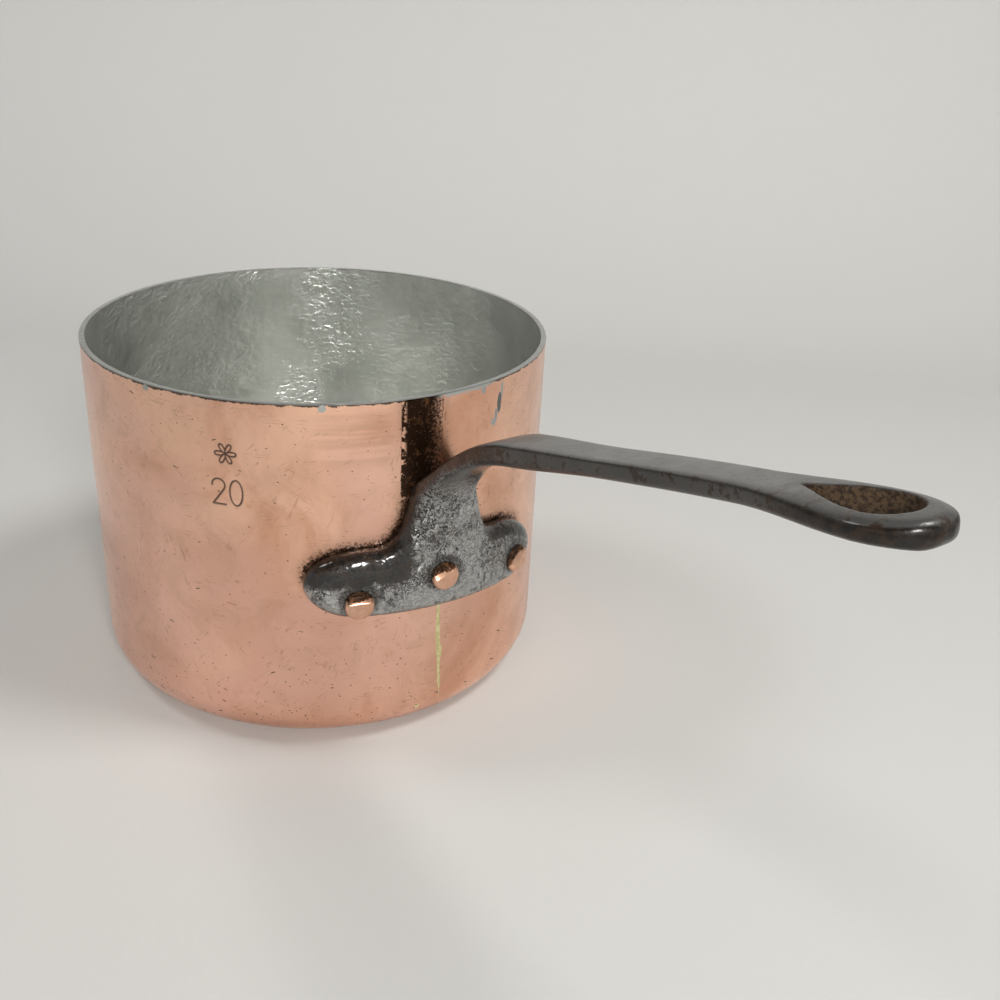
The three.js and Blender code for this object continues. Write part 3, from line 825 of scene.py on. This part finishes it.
neck_root_half, neck_half = 12.3, 10.2
neck_root_thickness, neck_thickness = 11.4, 7.2
bar_root_thickness, bar_thickness, bar_half = 9.2, 7.1, 9.0
bar_slope, bar_end_slope = 0.277, 0.16
bar_start = np.array([pan_radius + 52.0, neck_root + 36.2])
loop_half, loop_thickness = 15.0, 8.0
loop_length, loop_nose = 58.0, 18.0
handle_end = np.array([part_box("iron_handle")[1].x / MM, neck_root + 75.5])
eye_length, eye_half, eye_end_wall = 34.0, 9.3, 8.3
casting_voxel = 0.52
handle_columns, neck_steps, bar_steps, loop_steps = 64, 91, 190, 90
even_share = 0.8
skin_fades = 120, 150
wing_painted_dark_from, wing_painted_dark_full = 78.5, 81.0
root_flare = 1.3
flare_length = 7.0
neck_settle = 13.0
rivet_head, rivet_head_height = 6.1, 2.6

# Each rivet's angle round the pan in degrees, and its height.
rivet_places = [(-19.8, foot_bottom + 9.6), (-1.1, foot_bottom + 15.9), (20.6, foot_bottom + 9.4)]


def bezier(points, share):
    """Place and direction at a share along a cubic Bezier curve of four points."""
    a, b, c, d = (np.asarray(p, dtype=float)[None, :] for p in points)
    t = share[:, None]
    place = (1 - t) ** 3 * a + 3 * t * (1 - t) ** 2 * b + 3 * t**2 * (1 - t) * c + t**3 * d
    run = 3 * (1 - t) ** 2 * (b - a) + 6 * t * (1 - t) * (c - b) + 3 * t**2 * (d - c)
    return place, run / np.linalg.norm(run, axis=1)[:, None]


def foot_outline(steps):
    """Half-width and height up the foot's longer side: two quarter ellipses and a curve into the neck."""
    t = np.linspace(0, 1, steps)
    turn = t * math.pi / 2
    lower = np.stack([
        foot_flat_half + (foot_left_span - foot_flat_half) * np.sin(turn),
        tip_level - (tip_level - foot_bottom) * np.cos(turn),
    ], axis=1)
    upper = np.stack([
        foot_shoulder_half + (foot_left_span - foot_shoulder_half) * np.cos(turn),
        tip_level + (shoulder_level - tip_level) * np.sin(turn),
    ], axis=1)
    gap = foot_shoulder_half - neck_root_half
    climb = neck_root - shoulder_level
    fillet, _ = bezier([
        (foot_shoulder_half, shoulder_level),
        (foot_shoulder_half - 0.57 * gap, shoulder_level + 0.03 * climb),
        (neck_root_half + 0.25 * gap, shoulder_level + 0.40 * climb),
        (neck_root_half + root_flare, neck_root),
    ], t)
    return np.concatenate([lower, upper[1:], fillet[1:]])


def edge_distance(outline, across, height):
    """Distance from each point of the foot to its edge: the lower line or the nearest side segment."""
    start, end = outline[:-1], outline[1:]
    run = end - start
    length = np.maximum((run**2).sum(axis=1), 1e-9)
    point = np.stack([np.abs(across), height], axis=-1)[..., None, :]
    share = np.clip(((point - start) * run).sum(axis=-1) / length, 0, 1)
    nearest = np.linalg.norm(point - (start + share[..., None] * run), axis=-1).min(axis=-1)
    return np.maximum(np.minimum(nearest, height - foot_bottom), 0)


def section_shares(count):
    """Shares of the half-width across a section, closer together towards its two sides."""
    return -np.cos(np.linspace(0, math.pi, count))


def foot_points(outline, count):
    """The foot as sections: flat against the wall behind, and rounded over towards its edge in front.

    The rounding is a quarter circle of the distance to the edge. The whole is wrapped round the pan, leaning
    by the roll, and the shorter wing is squeezed towards the middle.
    """
    half, height = outline[:, :1], outline[:, 1:]
    across = half * section_shares(count)[None, :]
    level = np.broadcast_to(height, across.shape)
    full = ramp(level, foot_flat_top, neck_root, foot_thickness, neck_root_thickness)
    round_in = ramp(level, foot_bottom, tip_level + 6, foot_lower_round, foot_upper_round)
    left = 1 - np.minimum(edge_distance(outline, across, level) / round_in, 1)
    front = foot_edge + (full - foot_edge) * rounded(left)
    wing = 1 - eased(level, shoulder_level - 4, shoulder_level + 6)
    squeeze = np.where(across > 0, 1 + (foot_right_span / foot_left_span - 1) * wing, 1)
    lean = math.tan(foot_roll) * (1 - eased(level, shoulder_level, neck_root))
    across = across * squeeze
    raised = level - lean * across
    outer = around(foot_back + front, raised, across / pan_radius)
    inner = around(foot_back + 0 * front, raised, across / pan_radius)
    return np.concatenate([outer, inner[:, ::-1]], axis=1)


def bar_points(place, run, half, thickness, flatness, count):
    """Sections of a rounded bar square to its path: half-ovals of two powers, the upper one flatter."""
    share = section_shares(count)[None, :]
    oval = lambda power: (1 - np.abs(share) ** power) ** (1 / power)
    upright = 0.12 * thickness[:, None]
    below = np.maximum(thickness[:, None] / 2 * oval(3.2), upright)
    above = np.maximum(thickness[:, None] / 2 * oval(flatness[:, None]), upright)
    across = np.broadcast_to(share * half[:, None], below.shape)
    down = np.stack([run[:, 1], -run[:, 0]], axis=1)

    def placed(depth):
        plan = place[:, None, :] + down[:, None, :] * depth[..., None]
        return np.stack([plan[..., 0], across, plan[..., 1]], axis=-1)

    return np.concatenate([placed(below), placed(-above)[:, ::-1]], axis=1)


neck_foot = np.array([pan_radius + 0.3 + neck_root_thickness / 2, neck_root])
neck_curve = [neck_foot, neck_foot + (0, 10.2), bar_start - 22 * np.array([1, bar_slope]), bar_start]
bar_pull = (handle_end[0] - bar_start[0]) / 3
bar_curve = [
    bar_start,
    bar_start + bar_pull * np.array([1, bar_slope]),
    handle_end - bar_pull * np.array([1, bar_end_slope]),
    handle_end,
]


def arm_half(x, up_from_root):
    """Half-width at a distance from the pan's axis: tapering neck, straight bar, swelling loop, round nose.

    The flare left by the foot's fillet dies away with the height above the root.
    """
    neck = ramp(x, neck_foot[0], pan_radius + 20.8, neck_root_half, neck_half)
    straight = ramp(x, bar_start[0], bar_start[0] + 40, neck, bar_half)
    full = ramp(x, handle_end[0] - loop_length, handle_end[0] - loop_nose, straight, loop_half)
    full = full + root_flare * np.exp(-up_from_root / flare_length)
    return full * rounded(np.maximum((x - (handle_end[0] - loop_nose)) / loop_nose, 0))


def neck_depth(share):
    """Thickness up the neck: it thins to the bend, then thickens into the bar's root."""
    thin = ramp(share, 0, 0.45, neck_root_thickness, neck_thickness)
    return thin + (bar_root_thickness - neck_thickness) * eased(share, 0.5, 1)


def bar_depth(share, x):
    """Thickness along the bar: root, bar, loop, with the loop's end rounded over."""
    bar = ramp(share, 0, 0.3, bar_root_thickness, bar_thickness)
    full = ramp(x, handle_end[0] - loop_length, handle_end[0] - loop_nose, bar, loop_thickness)
    return full * rounded(np.maximum((x - (handle_end[0] - loop_thickness / 2)) / (loop_thickness / 2), 0))


def handle_points(count):
    """The whole casting as one run of sections: foot, neck, bar and loop.

    The neck starts as the foot's last section and settles into its own shape over a short height.
    """
    foot = foot_points(foot_outline(60), count)
    up_neck = np.linspace(0, 1, neck_steps)
    neck_place, neck_run = bezier(neck_curve, up_neck)
    neck_half_widths = arm_half(neck_place[:, 0], neck_place[:, 1] - neck_root)
    neck = bar_points(neck_place, neck_run, neck_half_widths, neck_depth(up_neck), 3 + 6 * up_neck, count)
    settle = 1 - eased(neck_place[:, 1] - neck_root, 0, neck_settle)
    neck = neck + settle[:, None, None] * (foot[-1] - neck[0])
    closing = np.sin(np.linspace(0, math.pi / 2, loop_steps)[1:])
    along = np.concatenate([
        np.linspace(0, even_share, bar_steps)[1:],
        even_share + (0.999 - even_share) * closing,
    ])
    bar_place, bar_run = bezier(bar_curve, along)
    bar_half_widths = arm_half(bar_place[:, 0], bar_place[:, 1] - neck_root)
    flatness = 9 - 6 * eased(along, 0.25, 1)
    bar = bar_points(bar_place, bar_run, bar_half_widths, bar_depth(along, bar_place[:, 0]), flatness, count)
    return np.concatenate([foot, neck[1:], bar]).transpose(1, 0, 2)


def eye_points():
    """The drop-shaped cutter of the eye: its outline carried through the loop, flared out near both faces."""
    run = eye_length - eye_half
    side = np.linspace(0, 1, 60)
    drop = [(-run, 0), (-0.65 * run, 0.36 * eye_half), (-0.38 * run, eye_half), (0, eye_half)]
    straight, _ = bezier(drop, side)
    turn = np.linspace(math.pi / 2, -math.pi / 2, 60)
    nose = eye_half * np.stack([np.cos(turn), np.sin(turn)], axis=1)
    outline = np.concatenate([straight, nose[1:], (straight * (1, -1))[::-1][1:-1]])
    outward = np.roll(outline, -1, axis=0) - np.roll(outline, 1, axis=0)
    outward = np.stack([-outward[:, 1], outward[:, 0]], axis=1)
    outward /= np.linalg.norm(outward, axis=1)[:, None]
    depth = np.concatenate([[-12], np.linspace(-5.2, 5.2, 41), [12]])
    flare = 1.3 * np.clip((np.abs(depth) - 2.6) / 1.8, 0, 1.6) ** 2
    centre_x = handle_end[0] - eye_end_wall - eye_half
    share = 1 - (handle_end[0] - centre_x) / (handle_end[0] - bar_start[0])
    place, direction = (found[0] for found in bezier(bar_curve, np.array([share])))
    flat = outline[None] + flare[:, None, None] * outward[None]
    x = centre_x + flat[..., 0] * direction[0] - depth[:, None] * direction[1]
    z = place[1] + flat[..., 0] * direction[1] + depth[:, None] * direction[0]
    return np.stack([x, flat[..., 1], z], axis=-1)


def close_ends(obj):
    """Fills the two open ends of a tube of quads with flat faces."""
    work = bmesh.new()
    work.from_mesh(obj.data)
    open_edges = [edge for edge in work.edges if edge.is_boundary]
    bmesh.ops.holes_fill(work, edges=open_edges)
    bmesh.ops.recalc_face_normals(work, faces=work.faces)
    work.to_mesh(obj.data)
    work.free()


def applied(obj, kind, **settings):
    """The object's mesh after one modifier, kept as its own mesh."""
    modifier = obj.modifiers.new("work", kind)
    for key, value in settings.items():
        setattr(modifier, key, value)
    evaluated = obj.evaluated_get(bpy.context.evaluated_depsgraph_get())
    mesh = bpy.data.meshes.new_from_object(evaluated)
    obj.modifiers.clear()
    old = obj.data
    obj.data = mesh
    bpy.data.meshes.remove(old)


def cast_relief(points, rough_skin):
    """How far the cast skin sinks at each point, and how deep in a hollow it lies, from 0 to 1.

    Long lumps, wrinkles drawn up the neck and small pits, each a band of noise kept above its middle. The
    ground bar keeps only shallow waves.
    """
    drawn = points * (1, 1, 0.62) + points[:, [2, 0, 1]] * (0.18, -0.12, 0)
    lumps = 0.5 + 0.5 * lattice_noise(points, 7.5, 11)
    wrinkles = eased(lattice_noise(drawn, 1.75, 12), -0.15, 0.75)
    pits = eased(lattice_noise(drawn, 1.15, 14), 0.15, 0.8)
    crowded = 0.45 + 0.55 * eased(lattice_noise(points, 11, 15), -0.5, 0.3)
    hollow = rough_skin * crowded * np.clip(wrinkles * 0.75 + pits * 0.6, 0, 1)
    worn = 0.5 + 0.5 * lattice_noise(points, 26, 13)
    return rough_skin * 0.12 * lumps + 0.52 * hollow + 0.10 * worn, hollow


def wear_and_painted_light(points, normals):
    """How much ground metal shows at each point, from 0 to 1, by the way it faces and how far along the arm
    it is.

    It is partly wear and mostly painted light and shade: faces turned outwards are painted bright and those
    turned up painted dark as painted reflections, the wing tops are painted dark, the bar's top is painted
    lighter with a painted shade line under its top edge, and faces turned down and rings round the rivet
    heads get painted shade.
    """
    radius = np.hypot(points[:, 0], points[:, 1])
    outward = (normals[:, 0] * points[:, 0] + normals[:, 1] * points[:, 1]) / radius
    upward = normals[:, 2]
    ragged = 0.10 * lattice_noise(points, 5, 16) + 0.06 * lattice_noise(points, 2.2, 17)
    on_foot = 1 - eased(points[:, 2], neck_root - 6, neck_root + 14)
    foot = eased(outward + ragged, 0.30, 0.62) * (1 - eased(upward + ragged, 0.16, 0.34))
    # The wing tops are painted dark: a painted dark reflection.
    wing_top = eased(points[:, 2] + 14 * ragged, wing_painted_dark_from, wing_painted_dark_full)
    wing_top = wing_top * eased(-round_pan(points) + 10 * ragged, 13, 17)
    foot = foot * (1 - 0.97 * wing_top)
    neck = 0.70 * eased(outward + ragged, 0.0, 0.5)
    # The bar's top is painted lighter, and a painted shade line runs under its top edge.
    top = eased(upward + 0.5 * ragged, 0.62, 0.86)
    painted_edge_shade = np.exp(-(((upward - 0.42) / 0.17) ** 2))
    bar = 0.10 + 0.16 * top - 0.10 * painted_edge_shade + 0.12 * ragged
    loop = 0.14 * top
    on_loop = eased(points[:, 0] + 60 * ragged, handle_end[0] - 48, handle_end[0] - 28)
    on_bar = eased(points[:, 0], bar_start[0] - 20, bar_start[0] - 6)
    arm = (neck + (bar - neck) * on_bar) * (1 - on_loop) + loop * on_loop
    shaded = 1 - 0.85 * eased(-upward, 0.35, 0.75)
    for angle, rivet_level in rivet_places:
        reach = np.hypot(round_pan(points, angle), points[:, 2] - rivet_level - 1.2)
        shaded = shaded * (1 - 0.8 * (1 - eased(reach + 6 * ragged, rivet_head, rivet_head + 3.2)))
    return (foot * on_foot + arm * (1 - on_foot)) * shaded


def eye_wall(points, normals):
    """1 on the wall of the eye, where nothing rubs: near the eye, with the surface facing its middle."""
    centre_x = handle_end[0] - eye_end_wall - eye_length / 2
    across = np.hypot((points[:, 0] - centre_x) / (eye_length / 2 + 1.2), points[:, 1] / (eye_half + 1.2))
    inward = normals[:, 0] * (centre_x - points[:, 0]) - normals[:, 1] * points[:, 1]
    return eased(across, 1.25, 1.0) * eased(inward, 0.5, 4) * eased(np.abs(normals[:, 2]), 0.85, 0.5)


oxide_and_shade_black = (0.008, 0.006, 0.005, 1)
oxide_brown = (0.026, 0.015, 0.009, 1)
iron_grey = (0.51, 0.51, 0.50, 1)
iron_dull = (0.43, 0.43, 0.42, 1)
rust_colour = (0.085, 0.052, 0.028, 1)

iron, bsdf, place = new_material("cast_iron")
worn_and_lit, hollow, skin_rough, eye = (painted(place, name) for name in ("worn_and_lit", "hollow", "cast_skin", "eye"))
soft = noise(place, 80, 4)
grain = noise(place, 850, 3, 0.6)
pocked = noise(place, 260, 4, 0.7)
grey = blend(between(soft, 0.35, 0.65), iron_grey, iron_dull)
dark = blend(between(pocked, 0.42, 0.62), oxide_and_shade_black, oxide_brown)
sides = between(worn_and_lit, 0.55, 0.20)
rise = between(arc_and_height(place)[1], 0.066, 0.084)
crowd = times(times_plus(between(soft, 0.40, 0.56), 0.5, 0.5), times_plus(rise, 0.7, 0.3))
speck = times(between(grain, 0.53, 0.58), skin_rough, crowd)
folds = maths("ABSOLUTE", maths("SUBTRACT", noise(place, 430, 3, 0.6, 1.2), 0.5))
folds = times(between(folds, 0.060, 0.025), times(crowd, skin_rough))
# How much grey metal shows: wear with painted light and shade, less hollows, folds and specks. Where it is
# low, the oxide black and brown also stand in for painted dark reflections and painted shade.
shown = times_plus(between(hollow, 0.25, 0.70), -0.55, worn_and_lit)
shown = times_plus(folds, -1.15, times_plus(speck, -0.35, shown))
shown = times_plus(times(between(pocked, 0.54, 0.60), sides), -0.10, shown, clamp=True)
rust = blend(between(grain, 0.4, 0.6), rust_colour, oxide_brown)
metal = times_plus(shown, 1.3, 0.05, clamp=True)
rough = times_plus(shown, 0.05, times_plus(soft, 0.14, 0.24))
relief = times_plus(folds, -0.45, times_plus(pocked, 1.2, times(grain, 0.7)))
depth = times(skin_rough, times_plus(sides, -0.7, 1.0))
depth = times_plus(depth, 0.90, times_plus(sides, 0.10, 0.03))
gloss = times_plus(shown, -0.6, times_plus(skin_rough, 0.60, 0.30))
set_inputs(bsdf, {
    "Base Color": blend(eye, blend(shown, dark, grey), rust),
    "Metallic": times_plus(eye, -0.9, metal, clamp=True),
    "Roughness": times_plus(eye, 0.3, rough, clamp=True),
    "Normal": bumped(times(relief, times_plus(eye, 0.3, depth)), 1.0, 0.0008),
    "Coat Weight": times_plus(eye, -0.8, gloss, clamp=True),
    "Coat Roughness": 0.10,
    "Coat IOR": 1.5,
    "Specular IOR Level": 0.25,
})

arm = handle_points(handle_columns)
handle = grid_mesh("iron_handle_casting", arm, [iron], closed=(True, False), caps=True)
eye_cutter = grid_mesh("eye_cutter", eye_points(), [], closed=(False, True))
close_ends(eye_cutter)
close_ends(handle)
applied(handle, "BOOLEAN", object=eye_cutter, operation="DIFFERENCE", solver="EXACT")
applied(handle, "REMESH", mode="VOXEL", voxel_size=casting_voxel * MM)
applied(handle, "SMOOTH", factor=0.5, iterations=2)
bpy.data.objects.remove(eye_cutter)

skin = mesh_points(handle)
normals = np.empty(skin.size, dtype=np.float32)
handle.data.vertices.foreach_get("normal", normals)
normals = normals.reshape(-1, 3)
cast_skin = 1 - eased(skin[:, 0] + 6 * lattice_noise(skin, 9, 18), *skin_fades)
# Wear with painted light and shade, stored on the handle for the material.
worn_and_lit_values = wear_and_painted_light(skin, normals)
sink, in_hollow = cast_relief(skin, cast_skin * (0.35 + 0.65 * np.clip(worn_and_lit_values, 0, 1)))
paint(handle, "worn_and_lit", worn_and_lit_values)
paint(handle, "hollow", in_hollow)
paint(handle, "cast_skin", cast_skin)
paint(handle, "eye", eye_wall(skin, normals))
move_points(handle, skin - sink[:, None] * normals)
handle.data.polygons.foreach_set("use_smooth", np.ones(len(handle.data.polygons), dtype=bool))
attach(handle, "root")
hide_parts("iron_handle")

# Polish and soot gather on the copper where it meets the iron, with painted shade and a painted dark
# reflection of the foot's top, most of all above the foot.
skin = mesh_points(copper_wall)
across = round_pan(skin)
level = skin[:, 2] + math.tan(foot_roll) * across
side_share = np.where(across > 0, foot_left_span / foot_right_span, 1)
outline = foot_outline(40)
point = np.stack([np.abs(across) * side_share, level], axis=-1)[:, None, :]
reach = np.linalg.norm(point - outline[None], axis=-1).min(axis=1)
above = eased(level, tip_level - 6, tip_level + 6)
soot_and_shade = np.exp(-reach / (1.3 + 2.4 * above)) * (0.80 + 0.30 * above) * (level < neck_root + 12)
paint(copper_wall, "soot_and_shade", soot_and_shade)

# ------------ rivets
# Copper rivets driven from inside the pan: a low tinned dome inside, and outside a head hammered nearly flat.

rivet_shank, inner_head, inner_head_height = 3.2, 6.3, 2.2
rivet_points_round = 96
facet_slope = 0.85
tin_inside = pan_radius - wall_thickness - tin_gap - tin_thickness
inner_seat = math.sqrt(tin_inside**2 - inner_head**2) - 0.2
outer_seat = pan_radius + 0.3 + foot_thickness + 0.1

# Each rivet: CAD node, the way its hammered facet faces in degrees, and the facet's distance from the middle.
rivets = [
    ("rivet_left", 92, 1.6),
    ("rivet_middle", 108, 1.3),
    ("rivet_right", 128, 0.6),
]


def rivet_points(facing, facet_start, seed):
    """The rivet as a grid turned about its own axis: inner dome, shank, and outer head hammered from above.

    The head's height is level, falls away at a slope past the facet's line, and rounds off at the rim as the
    root of one minus the radius to the eighth power. Noise makes it uneven.
    """
    lean = np.linspace(0, math.pi / 2, 14)
    face = rivet_head * np.sin(np.linspace(math.pi / 2, 0, 26))
    distance = np.concatenate([
        inner_seat - inner_head_height * np.cos(lean),
        [inner_seat, outer_seat],
        np.full(len(face), outer_seat),
    ])
    radius = np.concatenate([inner_head * np.sin(lean), [rivet_shank, rivet_shank], face])
    turn = np.linspace(0, 2 * math.pi, rivet_points_round, endpoint=False)
    y = radius[:, None] * np.cos(turn)
    z = radius[:, None] * np.sin(turn)
    on_head = (np.arange(len(distance)) >= len(lean) + 2)[:, None]
    way = math.radians(facing)
    past = y * math.cos(way) + z * math.sin(way) - facet_start
    place = np.stack([np.full_like(y, 40.0 * seed), y, z], axis=-1)
    dents = 0.5 + 0.5 * lattice_noise(place, 2.6, seed)
    level = rivet_head_height - 0.22 * dents - facet_slope * np.maximum(past, 0)
    level = np.maximum(level, 0.5) * np.sqrt(np.maximum(1 - (radius[:, None] / rivet_head) ** 8, 0))
    x = distance[:, None] + on_head * level
    trim = 1 - 0.05 * on_head * (0.5 + 0.5 * lattice_noise(place / 2, 2.1, seed + 3))
    return np.stack([x, y * trim, z * trim], axis=-1)


def turned_and_raised(points, angle, height):
    """Points turned about the Z axis by an angle in degrees, and raised."""
    turn = math.radians(angle)
    return np.stack([
        points[..., 0] * math.cos(turn) - points[..., 1] * math.sin(turn),
        points[..., 0] * math.sin(turn) + points[..., 1] * math.cos(turn),
        points[..., 2] + height,
    ], axis=-1)


rivet_copper = copper_material("rivet_copper", tarnish=0.42)
for number, (rivet_name, facing, facet_start) in enumerate(rivets):
    rivet = grid_mesh(
        rivet_name + "_driven",
        turned_and_raised(rivet_points(facing, facet_start, number + 21), *rivet_places[number]),
        [rivet_copper, wiped_tin],
        closed=(False, True),
    )
    skin = mesh_points(rivet)
    angle, level = rivet_places[number]
    sideways = round_pan(skin, angle)
    upwards = skin[:, 2] - level
    way = math.radians(facing)
    past = sideways * math.cos(way) + upwards * math.sin(way) - facet_start
    # The head's upper side past the facet's line is painted dark as a painted dark reflection, and its rim
    # gets painted shade.
    uneven = 0.8 * lattice_noise(skin, 2.2, 30 + number)
    at_rim = eased(np.hypot(sideways, upwards) + 0.5 * uneven, rivet_head - 0.9, rivet_head)
    paint(rivet, "soot_and_shade", np.maximum(eased(past + uneven, 0.4, 1.6), 0.9 * at_rim))
    middles = np.empty(len(rivet.data.polygons) * 3)
    rivet.data.polygons.foreach_get("center", middles)
    inside = np.hypot(middles[0::3], middles[1::3]) < pan_radius * MM - wall_thickness * MM
    rivet.data.polygons.foreach_set("material_index", inside.astype(np.int32))
    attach(rivet, "root")
    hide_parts(rivet_name)
